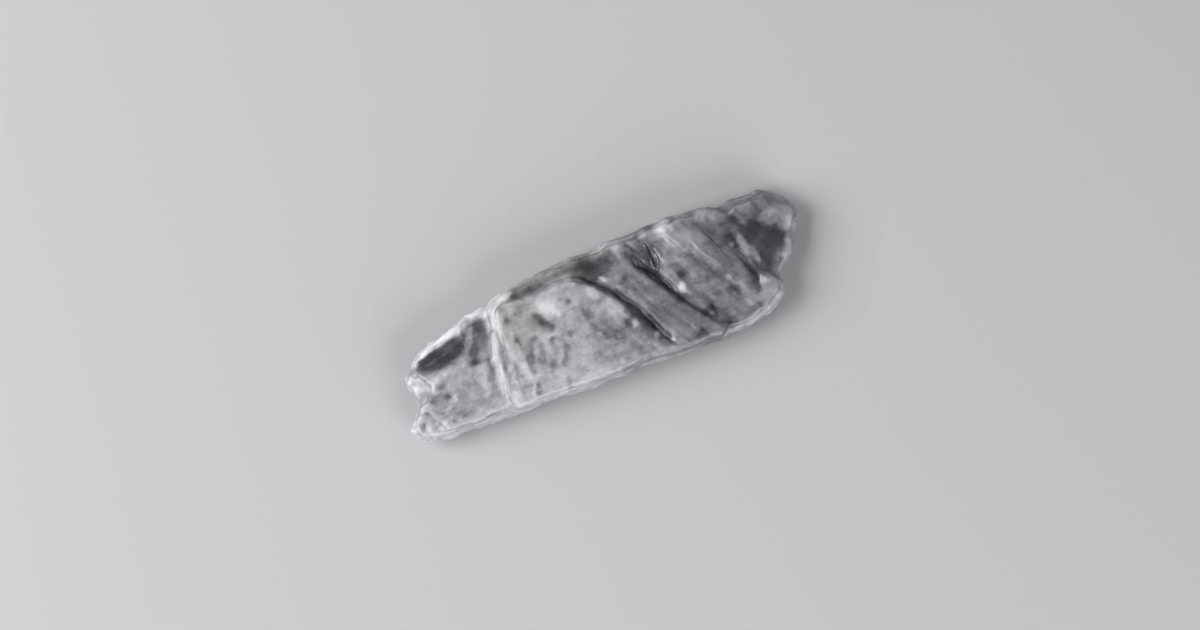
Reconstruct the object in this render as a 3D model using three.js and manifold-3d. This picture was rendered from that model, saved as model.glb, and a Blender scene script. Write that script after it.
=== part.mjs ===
// A natural selenite (gypsum) crystal blade, lying on its broad face.
// Five crystals that grew side by side along one axis are fused into one solid. The top layer has
// split away in terraces, and open fractures cross the blade at the mineral's own cleavage angle.
//
// Units are millimetres. +X runs along the blade towards its pointed end, +Y across it towards the
// stepped edge, and +Z up. The origin is on the resting face, under the middle of the blade.
import * as THREE from "three";
import { mergeVertices } from "three/addons/utils/BufferGeometryUtils.js";
import Module from "manifold-3d";

const wasm = await Module();
wasm.setup();

// Driving dimensions
const TOP = 11.5; // thickness of the blade at its highest terrace
const PRISM_LEAN = 24; // degrees that a long side face leans in from upright
const BROKEN_LEAN = 14; // the same for a broken end
const LAYER_LEAN = 12; // the same for the edge of a thin layer
const CLEAVAGE_ANGLE = 66; // degrees between the blade's axis and its cross cleavage
const FAR = 300; // size of the cutting blocks, far beyond the crystal
const ABOVE = 3; // how far a cutter stands above the terrace that it cuts
const GROOVE_PAST = 0.9; // how far a groove's cutter stands above its terrace, or a ridge goes below

// The crystals. Each girdle is the widest outline, anticlockwise from above; a third number is
// the lean of the face that starts at that point. girdleHeight is where that outline lies.
const CRYSTALS = [
  {
    name: "middle of the blade",
    top: TOP,
    base: 0,
    girdleHeight: 7,
    girdle: [
      [-28.4, -16.7],
      [-8, -16.6],
      [17.7, -16.9],
      [27, -16.7, 30],
      [41, -9, 20],
      [41, 10, 20],
      [36.9, 15, PRISM_LEAN],
      [32, 16.4],
      [22, 16.95],
      [9.5, 16.3],
      [-4.2, 15.6],
      [-15.5, 14.5],
      [-21.7, 13.5],
      [-25.4, 12.2, 30],
      [-27, 10.9, 8],
      [-29.9, -13.4, 14],
    ],
  },
  {
    name: "upper part of the broken end",
    top: 10.7,
    base: 0.5,
    girdleHeight: 5.6,
    girdle: [
      [-20, -13, 10],
      [-20, 7, 10],
      [-26.6, 11.4, 20],
      [-28.2, 12.4, PRISM_LEAN],
      [-33, 10.9],
      [-39.8, 8.8],
      [-45.5, 6.7],
      [-49.3, 4.2, 26],
      [-51.5, 1.5, BROKEN_LEAN],
      [-51.8, -0.5, BROKEN_LEAN],
      [-50.8, -6, BROKEN_LEAN],
      [-44, -13, BROKEN_LEAN],
    ],
    facets: [
      // The clear face that slopes down to the oblique edge
      { through: [-40, -0.9, 10.7], normal: [-0.05, 0.42, 1] },
      { through: [-50.6, -1, 9.6], normal: [-1, 0.25, 0.9] },
      { through: [-36, -5, 10.7], normal: [0.012, -0.06, 1] },
    ],
  },
  {
    name: "lower lobe of the broken end",
    top: 10.3,
    base: 1,
    girdleHeight: 5,
    girdle: [
      [-22, -16.65],
      [-22, -5, 10],
      [-44, -2, 10],
      [-50.6, -5.6, BROKEN_LEAN],
      [-53.5, -9.2, BROKEN_LEAN],
      [-54.9, -11.6, BROKEN_LEAN],
      [-54, -14.4, 24],
      [-51.2, -16.1, 28],
      [-45.5, -16.7],
    ],
    facets: [
      { through: [-52.6, -12, 8.7], normal: [-0.9, -0.1, 1] },
      { through: [-49.6, -14.4, 9.6], normal: [-0.3, -0.9, 1.1] },
    ],
  },
  {
    name: "pointed end",
    top: 10.4,
    base: 0.7,
    girdleHeight: 5.4,
    girdle: [
      [31, -8, 10],
      [45, -7.2, 24],
      [47.4, -4.8, 28],
      [49.6, -2.7, 30],
      [51.5, 0.3, 30],
      [53.4, 4, 30],
      [55, 8, 34],
      [54.3, 9.8, 36],
      [52, 12.8, 36],
      [49.9, 14.9, 32],
      [48.3, 15.6, 30],
      [38.9, 16.3, 30],
      [36.7, 14.8, 16],
      [30, 12, 10],
    ],
    facets: [
      // The clear window that falls away towards the tip's lower edge
      { through: [43, 6.6, 10.15], normal: [0.2, -0.17, 1] },
      { through: [50, 9, 9.2], normal: [0.5, 0.1, 1] },
      { through: [46, 13.4, 10], normal: [0.05, 0.3, 1] },
    ],
  },
  {
    name: "lobe under the pointed end",
    top: 10.6,
    base: 0.4,
    girdleHeight: 5.8,
    girdle: [
      [15, -16.8],
      [27, -16.65, 30],
      [34.5, -16.1, 30],
      [39.6, -14.8, 30],
      [42.8, -13.1, 30],
      [45.2, -10.8, 28],
      [45.9, -8.6, 24],
      [45.6, -6.9, 20],
      [43.5, -3.5, 12],
      [33, -3, 10],
      [18, -8, 10],
    ],
    facets: [{ through: [42.5, -9.5, 9.9], normal: [0.4, -0.2, 1] }],
  },
];

// Growth layers that stand out of a crystal's leaning side faces as ledges. Each follows the
// outline of its crystal, proud by so much, and ends at two cleavage cracks at from and to.
const LAYERS = [
  { of: "middle of the blade", z: 9.7, thickness: 0.6, proud: 0.25, from: -24, to: 8 },
  { of: "middle of the blade", z: 8.4, thickness: 1.1, proud: 0.4, from: -9, to: 41 },
  { of: "middle of the blade", z: 7.2, thickness: 0.7, proud: 0.15, from: -31, to: 17 },
  { of: "middle of the blade", z: 5, thickness: 1.5, proud: 0.3, from: -26, to: 19 },
  { of: "middle of the blade", z: 3.2, thickness: 0.9, proud: 0.55, from: -17, to: 41 },
  { of: "middle of the blade", z: 1.5, thickness: 1.3, proud: 0.4, from: -22, to: 11 },
  { of: "upper part of the broken end", z: 7.5, thickness: 1, proud: 0.3, from: -46, to: -28 },
  { of: "upper part of the broken end", z: 4.3, thickness: 0.7, proud: 0.3, from: -50, to: -34 },
  { of: "upper part of the broken end", z: 2.4, thickness: 1.2, proud: 0.45, from: -43, to: -25 },
  { of: "lower lobe of the broken end", z: 7.9, thickness: 0.7, proud: 0.35, from: -49, to: -27 },
  { of: "lower lobe of the broken end", z: 6.2, thickness: 1.2, proud: 0.3, from: -55, to: -35 },
  { of: "lower lobe of the broken end", z: 2.7, thickness: 1, proud: 0.5, from: -46, to: -24 },
  { of: "pointed end", z: 7.5, thickness: 0.6, proud: 0.35, from: 37, to: 52 },
  { of: "pointed end", z: 6.2, thickness: 0.9, proud: 0.25, from: 42, to: 56 },
  { of: "pointed end", z: 2.8, thickness: 1.3, proud: 0.45, from: 38, to: 54 },
  { of: "lobe under the pointed end", z: 8.1, thickness: 0.9, proud: 0.4, from: 22, to: 44 },
  { of: "lobe under the pointed end", z: 4.6, thickness: 0.7, proud: 0.25, from: 30, to: 47 },
  { of: "lobe under the pointed end", z: 2.4, thickness: 1.1, proud: 0.4, from: 18, to: 43 },
];

// Where the top layer has split away. The floor is a plane through a point, and the walls shear
// sideways by lean for each millimetre of height.
const TERRACES = [
  {
    // Beyond the arched edge
    outline: [
      [14, -15.2],
      [60, -15.2],
      [60, 22],
      [-26, 22],
      [-23.2, 10.9],
      [-19, 10.3],
      [-6, 10.7],
      [-2.6, 10],
      [0.2, 8.3],
      [2.9, 5.5],
      [5.3, 2],
      [7.2, -1.8],
      [9.1, -5.6],
      [11.2, -9.6],
    ],
    floor: { through: [4, 10, 10.3], normal: [0, 0.042, 1] },
    lean: [-0.55, -0.4],
  },
  {
    // Between the second and third fractures
    outline: [
      [31, -16],
      [60, -16],
      [60, 22],
      [12, 22],
      [13.5, 9.3],
      [16.8, 5.2],
      [21.2, -2.9],
      [27.6, -11],
    ],
    floor: { through: [24, 6, 10.25], normal: [0.012, -0.02, 1] },
    lean: [-0.3, -0.2],
  },
  {
    // Beside the pointed end
    outline: [
      [41, -7],
      [60, -7],
      [60, 10],
      [44, 18],
      [29.4, 22],
      [31.6, 11],
      [34, 7],
      [36.4, -1],
    ],
    floor: { through: [37, 8, 9.75], normal: [-0.02, 0.03, 1] },
    lean: [-0.35, -0.2],
  },
  {
    // Ledge above the broken end
    outline: [
      [-30.2, -17],
      [-27.5, -17],
      [-26.2, -6],
      [-25.4, 3],
      [-24, 22],
      [-31, 22],
    ],
    floor: { through: [-27, 0, 11.1], normal: [0.06, 0.02, 1] },
    lean: [-0.5, 0],
  },
  {
    // Second level of the clear face
    outline: [
      [-36.2, -1.2],
      [-28.6, -1.8],
      [-26.4, 22],
      [-32, 22],
    ],
    floor: { through: [-32, -1.2, 10.15], normal: [0.03, 0.46, 1] },
    lean: [-0.2, 0],
  },
  {
    // Flake lost from the broken end
    outline: [
      [-60, -8],
      [-49, -6.4],
      [-47.2, -2.6],
      [-48.6, 0.6],
      [-60, 3],
    ],
    floor: { through: [-50, -3, 8.4], normal: [-0.25, -0.1, 1] },
    lean: [0.7, 0.1],
  },
  {
    // Flake lost from the lower lobe
    outline: [
      [-60, -20],
      [-47.5, -20],
      [-46.2, -14.6],
      [-48.4, -12],
      [-49.8, -8.6],
      [-60, -8],
    ],
    floor: { through: [-50, -13, 8.9], normal: [-0.12, -0.14, 1] },
    lean: [0.5, 0.3],
  },
];

// The same on the resting side, where the floor is a ceiling over the surface below.
const UNDERCUTS = [
  {
    // Split from the pointed end
    outline: [
      [29, -20],
      [60, -20],
      [60, 20],
      [20, 20],
      [22, 9],
      [27, -1],
      [30, -9],
    ],
    floor: { through: [30, 0, 0.75], normal: [0.02, 0.012, -1] },
    lean: [0.5, 0.3],
  },
  {
    // Strip along the straight edge
    outline: [
      [-60, -20],
      [6, -20],
      [2, -10.2],
      [-24, -9.4],
      [-41, -10.4],
      [-60, -9],
    ],
    floor: { through: [-20, -12, 0.55], normal: [0, -0.03, -1] },
    lean: [0, -0.5],
  },
];

// Open fractures. Each stop is x, y, width and depth; height is the terrace that they are cut in.
const FRACTURES = [
  {
    // Under the arched edge
    height: 10.6,
    stops: [
      [-4.6, 11.2, 1, 0.6],
      [-1.6, 10.2, 1.8, 1.3],
      [2.2, 7.5, 1.9, 1.7],
      [5.9, 2.9, 2, 1.9],
      [8.8, -2, 2, 1.9],
      [10.9, -6.2, 1.9, 1.7],
      [13, -10.3, 1.5, 1.2],
      [14.4, -13.2, 0.8, 0.5],
    ],
  },
  {
    // Across the middle
    height: 10.4,
    stops: [
      [10.4, 14.6, 1, 0.9],
      [12.1, 9.8, 1.7, 1.8],
      [15.3, 5.6, 2.5, 2.3],
      [17.8, 1.4, 2.2, 2.3],
      [20.3, -2.7, 1.9, 2],
      [23.4, -6.8, 1.6, 1.6],
      [26.9, -11.2, 1.2, 0.9],
      [28.2, -13, 0.6, 0.4],
    ],
  },
  {
    // Fork of the middle fracture
    height: 10.4,
    stops: [
      [15, 15.4, 1, 0.8],
      [17, 10.4, 2.2, 1.5],
      [17.3, 7, 1.9, 1.5],
      [16.4, 4, 0.9, 0.9],
    ],
  },
  {
    // Third
    height: 10.2,
    stops: [
      [27.9, 15.9, 0.9, 0.8],
      [31, 11.6, 1.5, 1.2],
      [33.3, 7.7, 1.4, 1.3],
      [34.9, 2.8, 1.2, 1.1],
      [36, -1.6, 0.7, 0.5],
    ],
  },
  {
    // Short one before the third
    height: 10.2,
    stops: [
      [24.9, 7.2, 0.6, 0.4],
      [28.7, 1.7, 1.3, 1],
      [32.5, -3.4, 0.6, 0.4],
    ],
  },
  {
    // Beside the window
    height: 9.9,
    stops: [
      [34.6, 14.9, 0.9, 0.7],
      [38.6, 10.5, 1.4, 1.1],
      [42.4, 7.3, 0.8, 0.5],
    ],
  },
  {
    // Down to the lower lobe
    height: 9.8,
    stops: [
      [36, 6, 0.9, 0.5],
      [38.4, 0.9, 1.4, 1.1],
      [39.6, -4, 1.3, 1.2],
      [39.8, -8.4, 0.7, 0.5],
    ],
  },
  {
    // Along the back ledge
    height: 10.4,
    stops: [
      [-20.4, 11.3, 0.7, 0.4],
      [-14, 11.4, 1.3, 0.8],
      [-7.6, 11.4, 1.1, 0.7],
      [-3.4, 10.9, 1.4, 0.8],
    ],
  },
];

// Fractures that open on the resting side, from the same cracks
const LOWER_FRACTURES = [
  [
    [12, 9, 1, 0.7],
    [17.5, 0.5, 1.5, 1.2],
    [23, -8, 0.9, 0.6],
  ],
  [
    [-16, 8, 0.8, 0.5],
    [-12, 1, 1.2, 0.9],
    [-7.5, -7, 0.8, 0.5],
  ],
];

// Low ridges where growth lines cross the upper face, as x, y, width and rise
const RIDGES = [
  {
    height: TOP,
    stops: [
      [-24.3, 10, 0.12, 0.05],
      [-24.3, 6, 0.9, 0.3],
      [-24.7, -1, 1.1, 0.35],
      [-25.4, -9, 0.8, 0.3],
      [-25.8, -13.4, 0.12, 0.05],
    ],
  },
  {
    height: TOP,
    stops: [
      [-22.6, 9.8, 0.12, 0.05],
      [-22.2, 3, 0.8, 0.25],
      [-21.9, -3, 1, 0.3],
      [-20.9, -13.4, 0.12, 0.05],
    ],
  },
  {
    height: 10.45,
    stops: [
      [21.4, 15.4, 0.12, 0.05],
      [22.3, 11.6, 1.5, 0.4],
      [24.6, 4, 0.12, 0.05],
    ],
  },
  {
    height: 10.4,
    stops: [
      [19.6, 9, 0.12, 0.05],
      [20.6, 3.6, 1.2, 0.35],
      [23, -3, 0.12, 0.05],
    ],
  },
  {
    height: 10.3,
    stops: [
      [26.8, 10.2, 0.12, 0.05],
      [30, 4.4, 1.1, 0.35],
      [34.4, -4, 0.12, 0.05],
    ],
  },
  {
    height: 9.55,
    stops: [
      [37.8, 8.4, 0.12, 0.05],
      [39.8, 4.2, 1.3, 0.5],
      [42.2, -0.6, 0.12, 0.05],
    ],
  },
];

// Small hollows on the upper face, as x, y and length; the width and the depth go with the length
const HOLLOWS = [
  [-19.8, -2.9, 2.4],
  [-18.2, -5.2, 3.4],
  [-16.3, -2.6, 2.1],
  [-15, -5.9, 2.9],
  [-13.5, -3.1, 3.6],
  [-11.4, -7, 2.6],
  [-15.8, 4.3, 2],
  [-9.2, -3.8, 1.7],
  [-17.2, 0.9, 1.5],
];
const HOLLOW_WIDTH = 0.32;
const HOLLOW_DEPTH = 0.3;

// Shell-shaped scars where flakes have sprung off, as the centre and radii of the dish
const SCARS = [
  { at: [3.1, -1.4, 12.4], radii: [5.2, 5.6, 1.4] },
  { at: [-11.5, 3.4, 12.5], radii: [3.4, 2.2, 1.3] },
  { at: [-44, -6.6, 11.2], radii: [4.4, 3, 1.2] },
  { at: [-52.6, -6.2, 6.4], radii: [1.7, 3, 2.6] },
  { at: [-55, -13.8, 8.2], radii: [2.6, 2.6, 2.1] },
  { at: [-39.4, -17.6, 6.4], radii: [3.6, 1.2, 2.2] },
  { at: [-6.6, -17.6, 8.4], radii: [4.2, 1.3, 1.9] },
  { at: [11.5, -17.5, 5.4], radii: [2.8, 0.95, 1.9] },
  { at: [31.4, -17.1, 8], radii: [3.4, 1.3, 1.8] },
  { at: [44.6, -13.2, 7.4], radii: [2.4, 2, 1.8] },
  { at: [50.8, 16, 6.4], radii: [2.4, 1.9, 1.7] },
  { at: [55.4, 5, 5], radii: [1.6, 2.8, 1.7] },
  { at: [26.6, 17.6, 8.6], radii: [3.6, 1.2, 1.6] },
  { at: [4.4, 16.9, 6.6], radii: [3.2, 1, 2] },
  { at: [-16.6, 15.4, 8], radii: [3, 1.3, 1.7] },
  { at: [-41.6, 9.5, 5.6], radii: [3.2, 1.2, 1.9] },
];

const radians = THREE.MathUtils.degToRad;

// three.js geometry to a manifold solid: only the merged positions are kept
function solidOf(geometry) {
  const bare = geometry.index ? geometry.toNonIndexed() : geometry.clone();
  bare.deleteAttribute("normal");
  bare.deleteAttribute("uv");
  const merged = mergeVertices(bare, 1e-5);
  return new wasm.Manifold(
    new wasm.Mesh({
      numProp: 3,
      vertProperties: merged.attributes.position.array,
      triVerts: new Uint32Array(merged.index.array),
    }),
  );
}

function geometryOf(solid) {
  const mesh = solid.getMesh();
  const positions = new Float32Array(mesh.numVert * 3);
  for (let i = 0; i < mesh.numVert; i++) {
    const start = i * mesh.numProp;
    positions.set(mesh.vertProperties.subarray(start, start + 3), i * 3);
  }
  return new THREE.BufferGeometry()
    .setAttribute("position", new THREE.BufferAttribute(positions, 3))
    .setIndex(new THREE.BufferAttribute(mesh.triVerts, 1));
}

// Everything on the outer side of a plane, to be subtracted
function beyond({ through, normal }) {
  const block = new THREE.BoxGeometry(FAR, FAR, FAR).translate(0, 0, FAR / 2);
  const outward = new THREE.Vector3(...normal).normalize();
  const turn = new THREE.Quaternion().setFromUnitVectors(
    new THREE.Vector3(0, 0, 1),
    outward,
  );
  return solidOf(block.applyQuaternion(turn).translate(...through));
}

function prism(outline, from, to) {
  const shape = new THREE.Shape(outline.map(([x, y]) => new THREE.Vector2(x, y)));
  const options = { depth: to - from, bevelEnabled: false };
  return new THREE.ExtrudeGeometry(shape, options).translate(0, 0, from);
}

// A closed crystal: a flat top and base, and two leaning faces that meet along each girdle edge.
// An inset moves every side face in by so much.
function growCrystal({ top, base, girdleHeight, girdle, facets = [], inset = 0 }) {
  const xs = girdle.map(([x]) => x);
  const ys = girdle.map(([, y]) => y);
  const width = Math.max(...xs) - Math.min(...xs);
  const depth = Math.max(...ys) - Math.min(...ys);
  let crystal = solidOf(
    new THREE.BoxGeometry(width, depth, top - base).translate(
      Math.min(...xs) + width / 2,
      Math.min(...ys) + depth / 2,
      (top + base) / 2,
    ),
  );
  girdle.forEach(([x, y, lean = PRISM_LEAN], i) => {
    const [nextX, nextY] = girdle[(i + 1) % girdle.length];
    const out = new THREE.Vector2(nextY - y, x - nextX).normalize();
    const slope = Math.tan(radians(lean));
    const through = [x - out.x * inset, y - out.y * inset, girdleHeight];
    for (const side of [slope, -slope])
      crystal = crystal.subtract(beyond({ through, normal: [out.x, out.y, side] }));
  });
  for (const facet of facets) crystal = crystal.subtract(beyond(facet));
  return crystal;
}

function growLayer({ of, z, thickness, proud, from, to }) {
  const crystal = CRYSTALS.find(({ name }) => name === of);
  const leanIn = Math.abs(z - crystal.girdleHeight) * Math.tan(radians(PRISM_LEAN));
  const crack = radians(CLEAVAGE_ANGLE);
  return growCrystal({
    top: z + thickness / 2,
    base: z - thickness / 2,
    girdleHeight: z,
    girdle: crystal.girdle.map(([x, y]) => [x, y, LAYER_LEAN]),
    inset: leanIn - proud,
    facets: [
      { through: [from, 0, z], normal: [-Math.sin(crack), -Math.cos(crack), 0] },
      { through: [to, 0, z], normal: [Math.sin(crack), Math.cos(crack), 0] },
    ],
  });
}

// What splits away above (or, for the resting side, below) a sloping floor
function splitAway({ outline, floor, lean }) {
  const up = Math.sign(floor.normal[2]);
  const level = floor.through[2];
  const ends = [level - up * ABOVE, level + up * ABOVE].sort((a, b) => a - b);
  const shear = new THREE.Matrix4().set(
    1, 0, lean[0], -lean[0] * level,
    0, 1, lean[1], -lean[1] * level,
    0, 0, 1, 0,
    0, 0, 0, 1,
  );
  const block = solidOf(prism(outline, ...ends).applyMatrix4(shear));
  const under = floor.normal.map((n) => -n);
  return block.subtract(beyond({ through: floor.through, normal: under }));
}

// A V-shaped groove (or, with a negative depth, a ridge) along a run of stops
function groove(stops, height) {
  const sections = stops.map(([x, y, width, depth], i) => {
    const [fromX, fromY] = stops[Math.max(i - 1, 0)];
    const [toX, toY] = stops[Math.min(i + 1, stops.length - 1)];
    const along = new THREE.Vector2(toX - fromX, toY - fromY).normalize();
    const past = Math.sign(depth) * GROOVE_PAST;
    const half = (width / 2) * (1 + past / depth);
    const open = height + past;
    return [
      [x - along.y * half, y + along.x * half, open],
      [x + along.y * half, y - along.x * half, open],
      [x, y, height - depth],
    ];
  });
  const points = sections.flat(2);
  const last = 3 * (sections.length - 1);
  const faces = [0, 2, 1, last, last + 1, last + 2];
  for (let i = 0; i < last; i += 3) {
    for (let k = 0; k < 3; k++) {
      const a = i + k;
      const b = i + ((k + 1) % 3);
      faces.push(a, b, b + 3, a, b + 3, a + 3);
    }
  }
  const shell = new THREE.BufferGeometry()
    .setAttribute("position", new THREE.Float32BufferAttribute(points, 3))
    .setIndex(faces);
  const solid = solidOf(shell);
  if (solid.volume() > 0) return solid;
  for (let i = 0; i < faces.length; i += 3)
    [faces[i + 1], faces[i + 2]] = [faces[i + 2], faces[i + 1]];
  return solidOf(shell.setIndex(faces));
}

function lens([x, y, z], [rx, ry, rz], segments) {
  const ball = new THREE.SphereGeometry(1, segments, segments / 2).rotateX(Math.PI / 2);
  return solidOf(ball.scale(rx, ry, rz).translate(x, y, z));
}

function selenite() {
  let blade = CRYSTALS.map(growCrystal).reduce((all, one) => all.add(one));
  for (const layer of LAYERS) blade = blade.add(growLayer(layer));
  for (const part of [...TERRACES, ...UNDERCUTS]) blade = blade.subtract(splitAway(part));
  for (const { stops, height } of FRACTURES) blade = blade.subtract(groove(stops, height));
  for (const stops of LOWER_FRACTURES) {
    const turned = stops.map(([x, y, width, depth]) => [x, -y, width, depth]);
    const crack = geometryOf(groove(turned, 0)).rotateX(Math.PI);
    blade = blade.subtract(solidOf(crack));
  }
  for (const { stops, height } of RIDGES) {
    const raised = stops.map(([x, y, width, rise]) => [x, y, width, -rise]);
    blade = blade.add(groove(raised, height));
  }
  for (const [x, y, length] of HOLLOWS) {
    const radii = [HOLLOW_WIDTH, 1, HOLLOW_DEPTH].map((share) => (share * length) / 2);
    blade = blade.subtract(lens([x, y, TOP], radii, 8));
  }
  for (const { at, radii } of SCARS) blade = blade.subtract(lens(at, radii, 16));
  return blade;
}

const crystalMaterial = new THREE.MeshStandardMaterial({
  color: 0xa7a6ab,
  roughness: 0.3,
  metalness: 0,
  transparent: true,
  opacity: 0.85,
  flatShading: true,
});

const bladeGeometry = geometryOf(selenite());
bladeGeometry.computeBoundingBox();
const middle = bladeGeometry.boundingBox.getCenter(new THREE.Vector3());
bladeGeometry.translate(-middle.x, -middle.y, 0);

const blade = new THREE.Mesh(bladeGeometry, crystalMaterial);
blade.name = "selenite_blade";

const group = new THREE.Group();
group.add(blade);
export default group;
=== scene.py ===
# A natural selenite blade: clear and milky gypsum with layered sides, open fractures and a
# stepped broken end, lying on its broad face and seen from straight above.
import math

import bpy
import numpy as np
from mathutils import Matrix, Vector, noise


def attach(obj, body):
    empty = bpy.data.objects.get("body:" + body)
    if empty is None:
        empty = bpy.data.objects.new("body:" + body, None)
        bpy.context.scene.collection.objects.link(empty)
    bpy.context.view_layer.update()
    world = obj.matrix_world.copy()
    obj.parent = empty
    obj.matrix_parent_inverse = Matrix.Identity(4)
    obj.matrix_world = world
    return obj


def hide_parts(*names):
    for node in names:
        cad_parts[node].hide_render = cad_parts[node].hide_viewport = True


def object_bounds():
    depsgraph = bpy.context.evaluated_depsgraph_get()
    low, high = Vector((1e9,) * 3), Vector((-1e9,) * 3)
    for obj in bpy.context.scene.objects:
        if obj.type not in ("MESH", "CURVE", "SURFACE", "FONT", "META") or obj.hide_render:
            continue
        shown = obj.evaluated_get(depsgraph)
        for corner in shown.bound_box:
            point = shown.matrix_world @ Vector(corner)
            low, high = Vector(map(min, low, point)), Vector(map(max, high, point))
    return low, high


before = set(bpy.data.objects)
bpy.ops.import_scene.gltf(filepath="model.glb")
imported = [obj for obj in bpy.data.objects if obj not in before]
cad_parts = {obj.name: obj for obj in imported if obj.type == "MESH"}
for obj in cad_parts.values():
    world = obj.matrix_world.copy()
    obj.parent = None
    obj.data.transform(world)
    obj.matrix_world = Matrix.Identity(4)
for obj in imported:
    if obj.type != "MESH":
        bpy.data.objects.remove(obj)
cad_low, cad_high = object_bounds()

MM = 0.001  # the scene is in metres, and sizes here are written in millimetres

# Places along the blade, in millimetres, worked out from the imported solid
THICKNESS = (cad_high.z - cad_low.z) / MM
BROKEN_END = cad_low.x / MM

# The cleavage across the upper face, in degrees from the blade's axis
CLEAVAGE_TURN = -61

# Mesh fineness, in millimetres and degrees
MERGE_DISTANCE = 0.002
FLAT_WITHIN = 1.0
GRAIN_OF_MESH = 0.345
SMOOTH_UNDER = 32
EDGE_PASSES = 3
FRACTURE_PASSES = 48
CREST_PASSES = 22
CREST_REACH = 0.5  # how far a point stands out of its surroundings where the crest and cleft value is full

# Where the reliefs act. Each pair is where the effect begins and where it is full
UPPER_FACE = (0.75, 0.95)  # how far the surface faces up, with 1 for straight up
LEANING_SIDE = (0.85, 0.55)
SWELLING_SIDE = (0.9, 0.6)
MILKY_GROUND = (0.04, 0.2)  # tones of the broad patches
SWELLING_GROUND = (0.03, 0.15)
FREE_HEIGHT = (0.05, 0.5)  # millimetres above the resting face
SIDE_HEIGHT = (0.1, 0.6)
BROKEN_HEIGHT = (0.2, 1.2)
WORN_HEIGHT = (0.08 * THICKNESS, 0.2 * THICKNESS)
BROKEN_REACH = (9, 3)  # millimetres from the broken end
FRACTURED_HALF = (-4, 12)  # millimetres along the blade

# The outline's waver: grain size and depth in millimetres, then each direction's turn
WAVER_GRAIN = (5.5, 5.5, 9)
WAVER_DEPTH = 1.5
WAVER_TURNS = {"X": 15, "Y": 70}

# Reliefs in the order in which they are laid: grain size and depth in millimetres, the place
# where each acts, and its other settings
RELIEFS = {
    "worn outline": ((5, 5, 5), 0.55, "sides", {"noise_depth": 2}),
    "growth layers": ((26, 26, 0.5), 0.55, "sides", {"noise_depth": 1}),
    "broken grain": ((2.6, 2.6, 3.2), 0.8, "broken end", {"turn": 20, "kind": "VORONOI"}),
    "growth lines": ((30, 1.1, 1.1), 0.12, "milky face", {"noise_depth": 1}),
    "cleavage lines": (
        (9, 1.3, 30), 0.36, "fractured half", {"turn": CLEAVAGE_TURN, "noise_depth": 1},
    ),
    "dimples": ((2.4, 2.4, 3), 0.26, "milky face", {"noise_depth": 1}),
    "swells": ((7, 5, 7), 0.5, "swelling surface", {"noise_depth": 2}),
}

# Camera: the photograph looks straight down on the blade, with its point up to the right
PICTURE_SCALE = 0.25  # millimetres at the blade for one pixel of the photograph
PICTURE_WIDTH = 1200
LENS = 100
SENSOR = 36
BLADE_TILT_IN_PICTURE = 20
BLADE_OFF_CENTRE = (1.3, 2.1)  # pixels right of and above the middle of the photograph
SCALE_HEIGHT = 0.7  # the share of the thickness at which the picture's scale holds

# A tone is the share of light that the picture shows: low where the crystal is clear and dark,
# high where it is milky and bright. Places are (x, y) on the upper face in millimetres.
# The tone also holds painted highlights along the rims, the back ledge and the oval, and painted shade
# under the back ledge and round the oval.
MILKY = 0.46

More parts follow.
